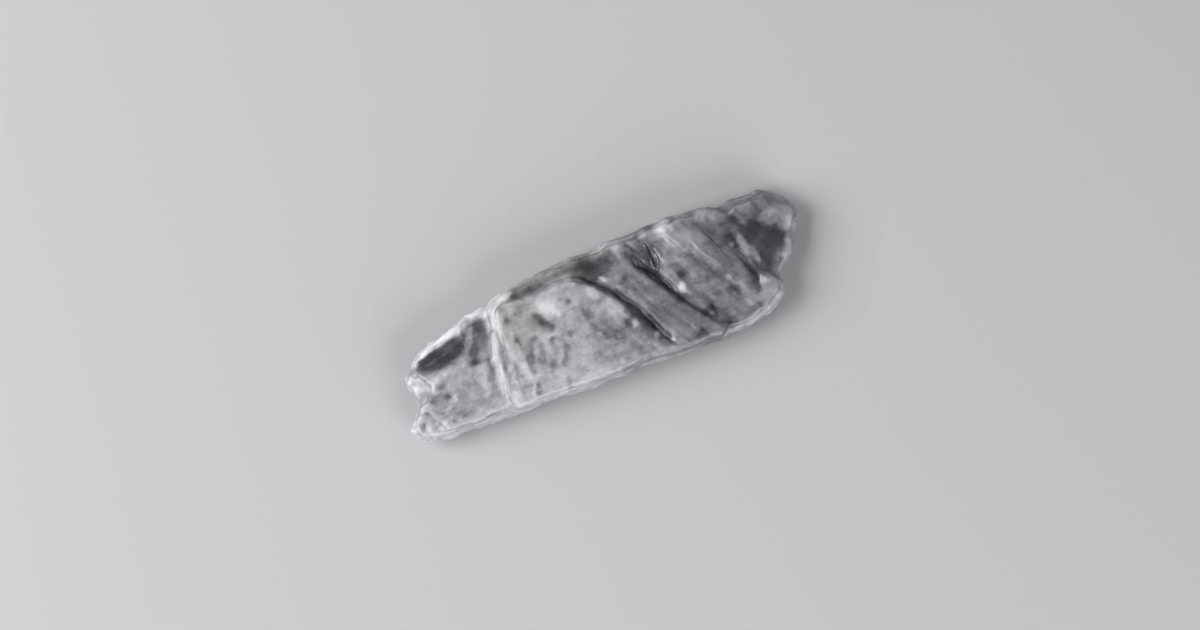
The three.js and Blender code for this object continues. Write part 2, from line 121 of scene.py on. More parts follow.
# Broad patches over the milky ground: centre, radii, turn in degrees, softness, tone, strength
GROUNDS = [
    # The right third is greyer than the milky left
    ((-41, -8), (12, 7), 0, 0.5, 0.31, 0.9),
    ((33, -1), (28, 40), -28, 0.22, 0.19, 1),
    ((15, 0), (8, 22), -30, 0.25, 0.215, 0.9),
    ((5, -12), (10, 4), -8, 0.6, 0.31, 0.8),
    ((26, 6), (4, 9), -14, 0.6, 0.29, 0.7),
    ((21.6, 8.6), (2.2, 5.4), -12, 0.7, 0.36, 0.8),
    # The clear face above the broken end, and the smoky one beside it
    ((-41.2, 3.6), (7.8, 3.4), 12, 0.35, 0.06, 1),
    ((-31.8, 5), (3.4, 4.4), -20, 0.5, 0.15, 0.95),
    ((-30.4, 8.2), (2, 1.8), 0, 0.6, 0.12, 0.8),
    ((-33, 2.2), (1.8, 2.4), -10, 0.6, 0.11, 0.8),
    # Milk at the broken end and along the stepped edge
    ((-48, -1.8), (4, 2), -12, 0.5, 0.5, 0.95),
    ((-22.6, 12), (3.4, 1.6), 14, 0.6, 0.6, 0.9),
    # The flat neutral patch, the milky spot and the oval
    ((-18.8, 4.4), (3.6, 4.8), 8, 0.45, 0.36, 0.9),
    ((-11.2, 4.8), (2.4, 3.6), 24, 0.7, 0.5, 0.7),
    ((-12.1, 5), (1.5, 2.7), 24, 0.7, 1.3, 1),
    ((1.2, -1.4), (4.8, 4.4), 20, 0.25, 0.38, 0.9),
    # Painted shade on the oval's lower-left side and a painted highlight on its upper-right side
    ((-1.2, -2.8), (2.6, 3.2), -30, 0.8, 0.3, 0.5),
    ((2.8, 1), (2, 3), 28, 0.8, 0.56, 0.8),
    # Dark ground at the stepped edge
    ((-9, 13.6), (10, 1.6), 4, 0.5, 0.22, 0.85),
    ((-0.4, 12.6), (3.8, 2.4), 0, 0.6, 0.03, 1),
    ((-0.2, 9.8), (2.6, 2.6), -30, 0.6, 0.055, 0.9),
    ((4.4, 11), (3.2, 3.2), -20, 0.6, 0.08, 0.9),
    ((15, 9.8), (2.8, 4), -10, 0.6, 0.13, 0.85),
    # The clear window and the lighter tip
    ((35.4, 4), (2.4, 5), -14, 0.6, 0.13, 0.85),
    ((36.4, 7.4), (2, 2.2), 0, 0.7, 0.08, 0.8),
    ((46, 12), (6.8, 3), -6, 0.4, 0.21, 1),
    ((44.4, 4.8), (5, 4.4), -30, 0.5, 0.048, 1),
    ((42.6, -1), (3.6, 4.8), -24, 0.5, 0.065, 0.95),
    ((40.8, -4.6), (2, 2.6), -10, 0.6, 0.11, 0.8),
    ((47.6, 2.7), (2.8, 2.7), -20, 0.8, 0.04, 1),
    ((46.8, 8.9), (2.6, 1.9), -10, 0.6, 0.28, 0.85),
    ((51.6, 8.2), (2.4, 4.2), -10, 0.6, 0.28, 0.85),
    # The cloudy lobe under the point
    ((40, -11), (6.4, 3.8), 16, 0.5, 0.29, 0.9),
]

# Fractures that let the light out, and the painted shadow under the back ledge. Each line is a run of
# stops: x, y, width, tone
FRACTURES_AND_LEDGE_SHADE = [
    # The arched one
    [
        (-3, 11, 2.2, 0.12), (-0.6, 9.6, 2.6, 0.07), (1.5, 8, 2.2, 0.045), (4, 4.7, 1.7, 0.09),
        (6.4, 1.6, 2.3, 0.06), (8.4, -2, 2.7, 0.07), (10.1, -4.8, 3, 0.055), (12, -8, 3.2, 0.05),
        (13.7, -11, 2.2, 0.1), (14.4, -13, 1.4, 0.2),
    ],
    # The middle one and its fork
    [
        (11.4, 14, 1.4, 0.14), (12.2, 12, 2.2, 0.035), (13.3, 9.2, 2.5, 0.03), (15.5, 5.6, 2.4, 0.03),
        (16.2, 3, 2.2, 0.035), (18.2, 0.4, 2.2, 0.04), (20, -3.2, 2, 0.05), (22, -5.8, 1.6, 0.14),
        (24.2, -8, 1.6, 0.19), (26.7, -10.4, 2.4, 0.08),
    ],
    [(16.4, 13.4, 1.4, 0.14), (17, 11, 2.4, 0.06), (17.3, 8.4, 2.6, 0.05), (16.4, 5.8, 1.8, 0.06)],
    # Painted shadow under the back ledge
    [(-19.6, 11.4, 1.6, 0.06), (-18.2, 11.5, 2.6, 0.01), (-16.6, 11.6, 1.8, 0.12)],
    [(-16.4, 11.7, 1.8, 0.1), (-14.8, 11.8, 2.4, 0.02), (-13, 12.1, 1.8, 0.1)],
    # The short one beside the milky spot
    [(-15.9, 5, 1.4, 0.1), (-14.8, 3.6, 2, 0.05), (-12.9, 1.2, 2.2, 0.08)],
    # The third one and the short one before it
    [
        (29.4, 15.6, 1.6, 0.14), (31, 12, 2, 0.12), (32.8, 9.2, 2, 0.08), (33.6, 5, 2, 0.13),
        (35, 0.4, 1.8, 0.16), (36.6, -4, 1.4, 0.2),
    ],
    [(25.4, 6.2, 1, 0.16), (28, 3, 1.5, 0.12), (30.9, -1, 1.6, 0.1), (32, -3, 1.2, 0.14)],
    # Beside the window and down to the lobe
    [(36.6, 14.6, 1.4, 0.12), (38.6, 11.4, 2, 0.08), (41, 8, 2.6, 0.06)],
    [
        (36.6, 7.6, 1.2, 0.1), (37.2, 4.6, 1.8, 0.06), (37.8, 1.6, 1.6, 0.1), (38.3, -1, 2, 0.07),
        (39, -5, 2, 0.05), (39.2, -8, 1.6, 0.1),
    ],
]

# Finer dark lines, as runs of the same stops
DARK_LINES = [
    # Painted shadow along the back ledge
    [(-13, 12.1, 2, 0.1), (-9, 12.8, 1.6, 0.12), (-4, 13.2, 1.8, 0.08)],
    # Under the milky spot
    [(-10.2, -2.1, 1.3, 0.2), (-9.1, -2.4, 1.8, 0.13)],
    # Between the growth lines beside the broken end
    [(-26.4, 4, 1.1, 0.2), (-26.7, -1, 1.3, 0.18), (-27.6, -6, 1.2, 0.2)],
    [(-30.4, -1, 1.2, 0.2), (-31.2, -6, 1.6, 0.18), (-31.8, -10, 1.2, 0.21)],
    [(-25.6, 3, 1, 0.2), (-25.9, -6, 1.2, 0.21)],
    [(-21.5, -13.6, 1.2, 0.12), (-20.7, -11.6, 1.2, 0.14)],
    [(-13.6, -14.2, 1.2, 0.17), (-12.8, -12.6, 1.2, 0.18)],
    # Painted shade around the lower side of the oval
    [
        (-3.5, 2.2, 2, 0.11), (-3.6, -0.6, 1.3, 0.18), (-2.6, -3.6, 1.4, 0.16), (-0.2, -5.7, 2.1, 0.1),
        (2.8, -5.8, 1.4, 0.17), (5, -4.4, 1.8, 0.12),
    ],
    # Short curved ticks in the milk
    [(-19.8, -1.6, 1.4, 0.22), (-20.4, -4.2, 2.2, 0.13), (-21, -7, 1.4, 0.24)],
    [(-16.8, -2.4, 1.2, 0.26), (-17.3, -4.6, 1.8, 0.2), (-17.9, -6.6, 1.2, 0.26)],
    [(-15.2, -7, 1.2, 0.26), (-15.8, -7.9, 1.5, 0.18)],
    [(-13.3, -2.2, 1.8, 0.18), (-13.7, -3, 1.4, 0.3)],
    [(-10.7, -3.8, 1.3, 0.26), (-10.9, -5.2, 1.8, 0.18), (-11.5, -6.8, 1.2, 0.28)],
    [(-12.4, -8, 1.1, 0.28), (-13, -8.9, 1.4, 0.2)],
]

# Bright lines, as runs of the same stops
BRIGHT_LINES = [
    # Painted highlights along the rims of the outline, from the broken end round to the lobe
    [(-51.4, 3.4, 1.6, 0.6), (-46, 5.6, 2, 1.2), (-41, 7.2, 2, 1.3), (-35.4, 8.9, 1.8, 1.2)],
    [(-34, 9.4, 1.8, 1), (-31, 10.9, 2.4, 1.4), (-28.4, 12, 1.8, 1.2)],
    [
        (-52.4, 1.4, 1.2, 0.5), (-51.6, -3.6, 1.4, 0.6), (-52.6, -7.6, 1.3, 0.6),
        (-53.8, -10.4, 1.6, 0.72), (-54.6, -12.6, 1.4, 0.6), (-53, -14.8, 1.6, 0.6),
        (-48, -15.4, 1.8, 0.62), (-42, -15.4, 1.4, 0.46),
    ],
    [
        (44, 15.2, 1.2, 0.27), (50.5, 13.6, 1.4, 0.3), (53.6, 9, 1.8, 0.35), (51.6, 3.6, 2, 0.36),
        (50, 0, 1.8, 0.36), (46.6, -5, 1.4, 0.3),
    ],
    [(45.6, -8.6, 1.4, 0.4), (43.6, -11.8, 2, 0.44), (38.6, -14.4, 2.4, 0.5), (31, -15.6, 1.8, 0.36)],
    # Painted highlight above the painted shadow of the back ledge, and a lighter line below it
    [(-26, 10.4, 1.8, 0.9), (-23, 11.8, 2.4, 1), (-20.4, 12.6, 1.8, 0.9)],
    [(-19.4, 13.3, 1.3, 0.42), (-16, 13.8, 1.5, 0.38), (-11.4, 14.2, 1.7, 0.4)],
    [(-20.4, 9.8, 1.3, 0.56), (-16.8, 9.5, 1.5, 0.6), (-14, 9.3, 1, 0.46)],
    # Beside the arched fracture, and a painted highlight along the upper side of the oval
    [(-5.8, 11.4, 1.8, 0.5), (-4.6, 10.6, 1.8, 0.58), (-3, 8.6, 1.2, 0.44), (-0.2, 5.6, 2.2, 0.62)],
    [(-0.2, 5.6, 2, 0.6), (-0.9, 3, 1.4, 0.5)],
    [(1.2, 3.4, 1.5, 0.5), (3.4, 1.6, 2, 0.6), (5, -0.6, 1.5, 0.52)],
    # Growth lines that cross the blade beside the broken end
    [(-32.4, 7.4, 1.1, 0.42), (-34, 4, 1.5, 0.55), (-36.4, -0.4, 1.2, 0.44)],
    [(-33.2, 4.6, 0.8, 0.3), (-34.4, 1.6, 0.8, 0.28)],
    [
        (-27, 8, 1, 0.4), (-27.8, 4, 2, 0.4), (-28.2, 0, 2.6, 0.4), (-29.2, -5, 2.4, 0.46),
        (-30.2, -11, 1.8, 0.44),
    ],
    [(-23.6, 8, 1.4, 0.5), (-24.2, 2, 2.2, 0.66), (-23, -5.4, 2.2, 0.75), (-22.4, -9, 1.4, 0.55)],
    [(-32.6, -2, 1.3, 0.52), (-33.6, -9, 1.5, 0.5)],
    [(-22.8, -13.4, 1, 0.72), (-21.8, -11, 1, 0.64)],
    [(-14.8, -14, 1, 0.58), (-13.8, -12.2, 1, 0.52)],
    # Arched line under the clear face
    [(-44, -6.2, 0.9, 0.44), (-42, -4.4, 1.3, 0.52), (-39, -3.3, 1.4, 0.54), (-35, -3.5, 1.2, 0.48)],
    # Bright ticks between the dark ones
    [(-18.2, -1.9, 1.3, 0.56), (-18.8, -3.8, 1.7, 0.68), (-19.4, -6, 1.3, 0.56)],
    [(-15.2, -0.9, 1.8, 0.66), (-15.5, -3.6, 1.9, 0.7), (-16.2, -6.6, 1.3, 0.6)],
    [(-14.6, -1, 1.4, 0.6), (-11.4, -0.9, 1.2, 0.52)],
    [(-12.3, -4, 1.3, 0.56), (-12.8, -6, 1.6, 0.6), (-13.6, -8, 1.3, 0.6)],
    # The ridge beside the window
    [
        (37.8, 8.2, 1, 0.34), (38.6, 5.6, 1.8, 0.42), (39.2, 3.4, 1.6, 0.4), (40.6, 1.6, 2.2, 0.46),
        (41.4, -0.6, 1.3, 0.36),
    ],
    # Faint lines on the clear face
    [(-45.5, 2.6, 0.6, 0.1), (-42, 3.3, 0.8, 0.13), (-38.4, 4.4, 0.6, 0.11)],
    [(-47, 4.2, 0.6, 0.1), (-41, 5.7, 0.7, 0.12), (-37.6, 6.6, 0.6, 0.1)],
]

# Edges of the solid that are worn round like the fractures, as runs of places and widths
WORN_STEPS = [
    [(-26.6, 11.4, 2.4), (-28.2, -2, 2.4), (-29.9, -13.6, 2)],
    [(11.4, 13.6, 3), (13, 9.4, 3.4), (15.6, 5.4, 3)],
    [(16.2, 13.8, 3), (17.2, 9, 3.6), (16.2, 5.4, 2.6)],
    [(20.8, 15, 2.4), (22.6, 9, 2.6), (24.2, 4, 2.4)],
    [(19, 5.6, 3), (21, -1, 3)],
    [(12.4, -8.6, 3), (14.4, -12, 7), (15.4, -14.4, 7)],
    [(-19, -4.4, 5), (-12.6, -5, 5)],
    [(36.6, 14.6, 2), (40.4, 10, 2.4)],
    [(-34.3, 9.6, 1.8), (-36.4, -0.4, 2), (-29.8, -1.5, 1.8)],
    [(-49.6, 3.2, 1.4), (-36.4, -0.4, 1.6)],
    [(39.4, -3, 1.6), (41, -8, 2)],
    [(44, 3, 4), (48, 3, 4)],
    [(-24.6, 10, 1.8), (-25.2, -3, 1.8)],
]
WORN_WIDTH = 1.8  # of a line's own width

# Small spots, laid last: centre, radii, turn and tone
SPOTS = [
    ((-46.2, 3.8), (1.4, 0.7), 10, 0.035),
    ((-43.8, 5), (1.2, 0.6), 12, 0.035),
    ((-34.2, -0.8), (1.5, 1.1), 0, 0.02),
    ((-44.6, -4.2), (2.4, 0.8), 36, 0.14),
    ((-43.3, -6.7), (1.1, 0.9), 0, 0.08),
    ((-47.3, -6.2), (0.9, 1.7), 0, 0.15),
    ((-51.6, -11.8), (1, 1), 0, 0.2),
    ((-48.6, -11), (0.7, 0.7), 0, 0.24),
    ((-46, -12.4), (0.6, 0.45), 0, 0.8),
    ((-47.6, -13.8), (0.9, 0.525), 40, 0.75),
    ((-40.4, -12), (1.3, 1.1), 0, 0.27),
    ((-37, -5.4), (2.2, 0.8), 0, 0.24),
    ((-27.6, -11.6), (1.275, 0.6), 0, 0.62),
    ((-22.9, -5.3), (0.75, 0.675), 0, 0.85),
    ((-23.5, 9.6), (1.3, 1.1), 0, 0.08),
    ((-22.6, 6.3), (0.8, 1.5), -20, 0.2),
    ((-22, 0.9), (0.9, 0.8), 0, 0.13),
    ((-17.8, -0.3), (0.9, 0.6), 0, 0.14),
    ((-8.7, 4.2), (0.75, 1.05), 0, 0.56),
    ((-8.6, 6.8), (0.7, 0.6), 0, 0.2),
    ((-6.7, 5.7), (0.8, 0.8), 0, 0.13),
    ((-2.6, -4.8), (0.6, 0.525), 0, 0.6),
    ((0, 2.6), (0.5, 0.9), -20, 0.24),
    ((3.6, 7.5), (1.125, 0.6), -22, 0.66),
    ((8.5, 6), (1.1, 1), 0, 0.13),
    ((6.4, 13.6), (1, 1.2), 0, 0.09),
    ((8.8, 13.4), (0.675, 1.125), 0, 0.58),
    ((7.2, -5.2), (0.7, 0.8), 0, 0.6),
    ((11.1, -9.9), (0.6, 0.6), 0, 0.7),
    ((14.7, -12), (1, 1.4), 0, 0.06),
    ((16.2, 15), (0.9, 0.675), 0, 0.62),
    ((19.2, 4.8), (0.8, 1.9), -16, 0.32),
    ((21.2, -1), (0.75, 0.9), 0, 0.95),
    ((21.5, 14.7), (1.7, 1.8), 0, 0.88),
    ((22.2, 2.2), (1.6, 1.5), 0, 0.05),
    ((26.4, -7.8), (1.1, 1.2), 0, 0.02),
    ((27.6, -7.8), (0.6, 0.525), 0, 0.3),
    ((22.5, -13.6), (1.6, 1.2), 0, 0.06),
    ((28.8, -13.4), (1.6, 1.4), 0, 0.05),
    ((33, -5.6), (1.3, 1.5), 0, 0.04),
    ((33.4, -8), (0.9, 1), 0, 0.14),
    ((24.6, -8.6), (1.2, 1), 30, 0.08),
    ((33, -2.2), (0.675, 0.675), 0, 0.42),
    ((31.4, 14.4), (0.9, 1.275), 20, 0.42),
    ((34, 12.8), (0.675, 1.05), 24, 0.34),
    ((36.2, 5), (0.6, 0.6), 0, 0.3),
    ((36.7, 6.7), (1.1, 1), 0, 0.03),
    ((34.6, 5.6), (0.8, 0.8), 0, 0.08),
    ((37.3, 4.5), (0.8, 0.8), 0, 0.04),
    ((38.8, 11), (1.2, 1), -30, 0.05),
    ((46.4, 12.2), (1.8, 1.6), 0, 0.13),
    ((43, 7.3), (1.5, 1.3), 0, 0.02),
    ((44.6, 9.6), (1, 1.6), -30, 0.07),
    ((42.4, 3.2), (1.4, 2), 0, 0.08),
    ((35.6, -7), (0.825, 1.5), 8, 0.38),
    ((41.1, -6.4), (0.9, 0.9), 0, 0.46),
    ((43.5, -8.2), (0.8, 0.9), 0, 0.24),
    ((37, -12), (2.3, 1.1), 6, 0.1),
]

LINE_SOFTNESS = 0.8
SPOT_SOFTNESS = 0.85
PENUMBRA_WIDTH = 2.3  # of a fracture's own width
PENUMBRA_STRENGTH = 0.6
LINE_STRENGTH = 0.9
UNEVEN_GRAIN = (1.6, 1.6, 5)  # the size in mm of the gaps in the finer lines
UNEVEN_SHOWN = 0.85  # the share of a finer line that shows between its gaps
LEAST_SHOWN = 0.3
KEPT_BELOW = 0.4  # the share of each line that still shows at the resting face
WANDER = [(4, 0.4), (1.3, 0.25)]  # the size and the reach in mm of the noises that move the tones

# Stronger grain in some places: centre, radii, turn and softness, then size, turn and weight
LOCAL_GRAINS = [
    (((-15.8, -4.4), (6, 4.6), 0, 0.6), ((1.6, 4, 4), -12, 0.2)),
    (((-29, -4), (6, 13), 0, 0.5), ((1.3, 11, 9), 4, 0.35)),
    (((-41.4, 3.4), (8.4, 4), 12, 0.4), ((6, 0.8, 3), 10, 0.7)),
    (((-46, -9), (8, 7), 0, 0.5), ((2.4, 1.8, 3), 20, 0.35)),
    (((22, 0), (24, 20), 0, 0.4), ((6, 1.4, 6), CLEAVAGE_TURN, 0.3)),
]

# Mottling all through the crystal: size in mm, turn and weight of each grain
MOTTLING = [
    ((5, 4, 4), 0, 0.8),
    ((2.2, 2, 2), 0, 0.95),
    ((1.2, 1, 1), 30, 0.7),
    ((14, 0.6, 0.45), 0, 0.55),
    ((0.7, 0.5, 0.5), 20, 0.4),
]

# Milk is faintly violet, clear places are more so, and a few patches are neutral
MILKY_TINT = (0.988, 0.98, 1.032)
SMOKY_TINT = (0.925, 0.87, 1.22)
SMOKY_TONES = (0.03, 0.15)  # all smoky at the first tone, all milky at the second
NEUTRAL_TINT = (1.0, 0.998, 0.99)
NEUTRAL_PATCHES = [  # centre, radii, turn and softness
    ((-20.5, 6.5), (6.5, 8), 0, 0.5),
    ((-8, 13.6), (14, 2.4), 2, 0.5),
    ((0, 11.4), (3, 3), 0, 0.6),
]

# The crystal's substance
MILK_STRENGTH = 1.7  # how fast the crystal whitens as the tone rises
CLEAREST = 0.03  # the tone that comes from reflections alone
LEAST_MILK = 0.018
CLEFT_PAINTED_SHADE = (0.1, 0.5, 0.6, 1)  # painted shade in clefts: from this crest and cleft value to that, this share of the tone to that
# Painted highlight on crests, in the same columns
CREST_PAINTED_HIGHLIGHT = (0.6, 0.95, 1, 1.35)
FACE_ROUGHNESS = (0.02, 0.5, 0.29, 0.44)  # from this tone to that, this roughness to that
BENT = (0.05, 0.22)  # how far the crest and cleft value is from a flat's, where the surface turns satin
WORN_ROUGHNESS = 0.5
REFRACTION = 1.52  # gypsum's
SEE_THROUGH = 0.7
SCATTERING = 1
SCATTER_RADIUS = (1, 1, 1)
SCATTER_REACH = 1.5  # in mm

# Grain too fine for the mesh: size in mm, turn and weight
FINE_GRAIN = [
    ((18, 0.45, 0.45), 0, 0.4),
    ((5, 0.5, 5), CLEAVAGE_TURN, 0.3),
    ((0.6, 0.6, 0.6), 0, 0.6),
]
FINE_DETAIL = 3
FINE_STRENGTH = 0.3
FINE_HEIGHT = 0.35  # in mm
FINE_TONES = (0.04, 0.2)  # clear places stay smooth

# The floor, the room and the lamps, in metres and watts
FLOOR_SIZE = 4
FLOOR_COLOUR = (0.2, 0.2, 0.203, 1)
FLOOR_ROUGHNESS = 0.7
ROOM_COLOUR = (0.795, 0.782, 0.85, 1)
ROOM_STRENGTH = 0.52
LAMP_SIZE = 1.15
LAMPS = {
    "window lamp": ((-1.1, 0.36, 0.95), 65),
    "fill lamp": ((0.4, -1.2, 0.68), 31),
}


def pick_up(piece):
    """Makes the piece the only selected and active object."""
    bpy.ops.object.select_all(action="DESELECT")
    piece.select_set(True)
    bpy.context.view_layer.objects.active = piece


def finish_with(piece, kind, name, **settings):
    """Adds a modifier with these settings and applies it."""
    pick_up(piece)
    modifier = piece.modifiers.new(name, kind)
    for setting, value in settings.items():
        setattr(modifier, setting, value)
    bpy.ops.object.modifier_apply(modifier=name)


def smooth_step(low, high, values):
    """0 up to low, 1 from high on, and a soft rise between. Low may be the greater."""
    share = np.clip((values - low) / (high - low), 0, 1)
    return share * share * (3 - 2 * share)


def places_and_normals(piece):
    """The points of the mesh in millimetres, and their normals."""
    places = np.empty((len(piece.data.vertices), 3))
    piece.data.vertices.foreach_get("co", places.ravel())
    normals = np.empty_like(places)
    piece.data.vertices.foreach_get("normal", normals.ravel())
    return places / MM, normals


def mark(piece, name, weights):
    """A vertex group with these weights."""
    group = piece.vertex_groups.new(name=name)
    for index in np.flatnonzero(weights > 0):
        group.add([int(index)], weights[index], "REPLACE")


def store(piece, name, values):
    """Keeps one value for each point, for the material to read."""
    attribute = piece.data.attributes.new(name, "FLOAT", "POINT")
    attribute.data.foreach_set("value", values.astype(np.float32))


def grain_guide(name, spread, turn):
    """An empty whose axes stretch and turn a relief texture. spread is the grain's size in mm."""
    guide = bpy.data.objects.new(name, None)
    bpy.context.scene.collection.objects.link(guide)
    guide.scale = [size * MM for size in spread]
    guide.rotation_euler = (0, 0, math.radians(turn))
    bpy.context.view_layer.update()
    return guide


def raise_relief(
    piece, name, spread, depth, where, turn=0, direction="NORMAL", kind="CLOUDS",
    **texture_settings,
):
    """Moves the surface along its normals, or one axis, by a stretched texture, depth mm in all."""
    texture = bpy.data.textures.new(name, kind)
    texture.noise_scale = 1
    for setting, value in texture_settings.items():
        setattr(texture, setting, value)
    guide = grain_guide(name + " guide", spread, turn)
    finish_with(
        piece, "DISPLACE", name, texture=texture, texture_coords="OBJECT",
        texture_coords_object=guide, strength=depth * MM, mid_level=0.5, vertex_group=where,
        direction=direction,
    )
    bpy.data.objects.remove(guide)
    bpy.data.textures.remove(texture)


def from_patch(flat, centre, radii, turn):
    """How far each place is from the middle of a turned ellipse, with 1 at its edge."""
    cos, sin = math.cos(math.radians(turn)), math.sin(math.radians(turn))
    x, y = (flat - centre).T
    return np.hypot((x * cos + y * sin) / radii[0], (y * cos - x * sin) / radii[1])


def from_line(flat, stops):
    """How far each place is from a line, with 1 at its edge, and the line's last value beside it."""
    nearest = np.full(len(flat), np.inf)
    value = np.zeros(len(flat))
    for start, end in zip(np.array(stops), np.array(stops[1:])):
        run = (end - start)[:2]
        share = np.clip((flat - start[:2]) @ run / (run @ run), 0, 1)
        beside = start + share[:, None] * (end - start)
        distance = np.hypot(*(flat - beside[:, :2]).T) / (beside[:, 2] / 2)
        value = np.where(distance < nearest, beside[:, -1], value)
        nearest = np.minimum(distance, nearest)
    return nearest, value


def inside(distance, softness):
    """1 well inside a shape whose edge is at distance 1, and 0 well outside."""
    return smooth_step(1 + softness, 1 - softness, distance)


def grain_at(places, spread, turn):
    """A soft noise around zero whose grains have this size in mm and turn."""
    cos, sin = math.cos(math.radians(turn)), math.sin(math.radians(turn))
    x, y, z = places.T
    turned = np.column_stack((x * cos + y * sin, y * cos - x * sin, z)) / spread
    return np.array([noise.noise(Vector(place)) for place in turned])


def lay_grounds(flat):
    """The broad patches over the milky ground."""
    tone = np.full(len(flat), MILKY)
    for centre, radii, turn, softness, patch_tone, strength in GROUNDS:
        mask = inside(from_patch(flat, centre, radii, turn), softness)
        tone += strength * mask * (patch_tone - tone)
    return tone


def lay_details(places, ground, strength):
    """The fractures, lines and spots over the broad patches."""
    flat = places[:, :2]
    tone = ground.copy()
    uneven = strength * np.clip(UNEVEN_SHOWN + grain_at(places, UNEVEN_GRAIN, 0), LEAST_SHOWN, 1)
    for stops in FRACTURES_AND_LEDGE_SHADE + DARK_LINES:
        distance, line_tone = from_line(flat, stops)
        dimmed = (line_tone + tone) / 2
        penumbra = PENUMBRA_STRENGTH * inside(distance / PENUMBRA_WIDTH, LINE_SOFTNESS)
        tone += strength * penumbra * (dimmed - tone)
    for lines, shown in ((BRIGHT_LINES, uneven), (DARK_LINES, uneven), (FRACTURES_AND_LEDGE_SHADE, strength)):
        for stops in lines:
            distance, line_tone = from_line(flat, stops)
            tone += shown * LINE_STRENGTH * inside(distance, LINE_SOFTNESS) * (line_tone - tone)
    for centre, radii, turn, spot_tone in SPOTS:
        mask = inside(from_patch(flat, centre, radii, turn), SPOT_SOFTNESS)
        tone += strength * LINE_STRENGTH * mask * (spot_tone - tone)
    return tone


def wandered(places):
    """Places in mm, moved about by soft noises, so that no edge is ruled."""
    moved = []
    for place in map(Vector, places):
        there = place.copy()
        for size, reach in WANDER:
            there += noise.noise_vector(place / size) * reach
        moved.append(there)
    return np.array(moved)


def note_tones(piece):
    """Stores how milky the crystal is at each point, with painted highlights along the rims, the back
    ledge and the oval, and painted shade under the back ledge and round the oval.
    """
    places, _ = places_and_normals(piece)
    places = wandered(places)
    flat = places[:, :2]
    depth = KEPT_BELOW + (1 - KEPT_BELOW) * smooth_step(0, THICKNESS, places[:, 2])
    tone = lay_details(places, lay_grounds(flat), depth)
    for (centre, radii, turn, softness), (spread, grain_turn, weight) in LOCAL_GRAINS:
        mask = inside(from_patch(flat, centre, radii, turn), softness)
        tone *= 1 + weight * mask * grain_at(places, spread, grain_turn)
    store(piece, "tone", np.maximum(tone, 0))
    store(piece, "neutral", np.max([
        inside(from_patch(flat, centre, radii, turn), softness)
        for centre, radii, turn, softness in NEUTRAL_PATCHES
    ], axis=0))


def note_crests_and_clefts(piece):
    """Stores how each point stands to its surroundings: 1 on a crest, 0.5 on a flat, 0 in a cleft. It
    sets the satin roughness, the painted shade in clefts and the painted highlight on crests.
    """
    places, normals = places_and_normals(piece)
    ends = np.empty((len(piece.data.edges), 2), int)
    piece.data.edges.foreach_get("vertices", ends.ravel())
    neighbours = np.bincount(ends.ravel(), minlength=len(places))[:, None]
    evened = places.copy()
    for _ in range(CREST_PASSES):
        total = np.zeros_like(places)
        np.add.at(total, ends[:, 0], evened[ends[:, 1]])
        np.add.at(total, ends[:, 1], evened[ends[:, 0]])
        evened = total / neighbours
    standing = ((places - evened) * normals).sum(axis=1) / CREST_REACH
    store(piece, "crest_and_cleft", np.clip(0.5 + standing / 2, 0, 1))


def mark_places(piece):
    """The places where each relief acts."""
    places, normals = places_and_normals(piece)
    x, _, z = places.T
    up = normals[:, 2]
    flat = places[:, :2]
    ground = lay_grounds(flat)
    free = smooth_step(*FREE_HEIGHT, z)
    milky = smooth_step(*UPPER_FACE, up) * smooth_step(*MILKY_GROUND, ground)
    swelling = np.maximum(
        smooth_step(*SWELLING_GROUND, ground), smooth_step(*SWELLING_SIDE, abs(up)),
    )
    worn = np.zeros(len(places))
    for stops in FRACTURES_AND_LEDGE_SHADE + WORN_STEPS:
        distance, _ = from_line(flat, stops)
        worn = np.maximum(worn, inside(distance / WORN_WIDTH, LINE_SOFTNESS))
    mark(piece, "sides", smooth_step(*LEANING_SIDE, abs(up)) * smooth_step(*SIDE_HEIGHT, z))
    broken = smooth_step(*BROKEN_REACH, x - BROKEN_END)
    mark(piece, "broken end", broken * smooth_step(*BROKEN_HEIGHT, z))
    mark(piece, "fractured half", smooth_step(*FRACTURED_HALF, x) * milky)
    mark(piece, "free surface", free)
    mark(piece, "swelling surface", swelling * free)
    mark(piece, "milky face", milky)
    mark(piece, "worn fractures", worn * smooth_step(*WORN_HEIGHT, z))


def make_crystal():
    """The visible crystal: a merged copy of the solid, worn at its edges and given its fine relief."""
    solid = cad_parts["selenite_blade"]
    crystal = bpy.data.objects.new("crystal_blade", solid.data.copy())
    bpy.context.scene.collection.objects.link(crystal)
    pick_up(crystal)
    bpy.ops.object.mode_set(mode="EDIT")
    bpy.ops.mesh.select_all(action="SELECT")
    bpy.ops.mesh.remove_doubles(threshold=MERGE_DISTANCE * MM)
    bpy.ops.mesh.dissolve_limited(angle_limit=math.radians(FLAT_WITHIN))
    bpy.ops.object.mode_set(mode="OBJECT")
    finish_with(crystal, "REMESH", "even grain", mode="VOXEL", voxel_size=GRAIN_OF_MESH * MM)

    mark_places(crystal)
    for direction, turn in WAVER_TURNS.items():
        raise_relief(
            crystal, "waver " + direction, WAVER_GRAIN, WAVER_DEPTH, "free surface",
            turn=turn, direction=direction, noise_depth=2,
        )
    finish_with(crystal, "SMOOTH", "worn edges", factor=0.5, iterations=EDGE_PASSES)
    finish_with(
        crystal, "SMOOTH", "worn fractures", factor=0.5, iterations=FRACTURE_PASSES,
        vertex_group="worn fractures",
    )
    for name, (spread, depth, where, settings) in RELIEFS.items():
        raise_relief(crystal, name, spread, depth, where, **settings)
    # The reliefs push nothing under the floor
    for vertex in crystal.data.vertices:
        vertex.co.z = max(vertex.co.z, 0)
    crystal.vertex_groups.clear()
    note_tones(crystal)
    note_crests_and_clefts(crystal)
    pick_up(crystal)
    bpy.ops.object.shade_smooth_by_angle(angle=math.radians(SMOOTH_UNDER))
    return crystal


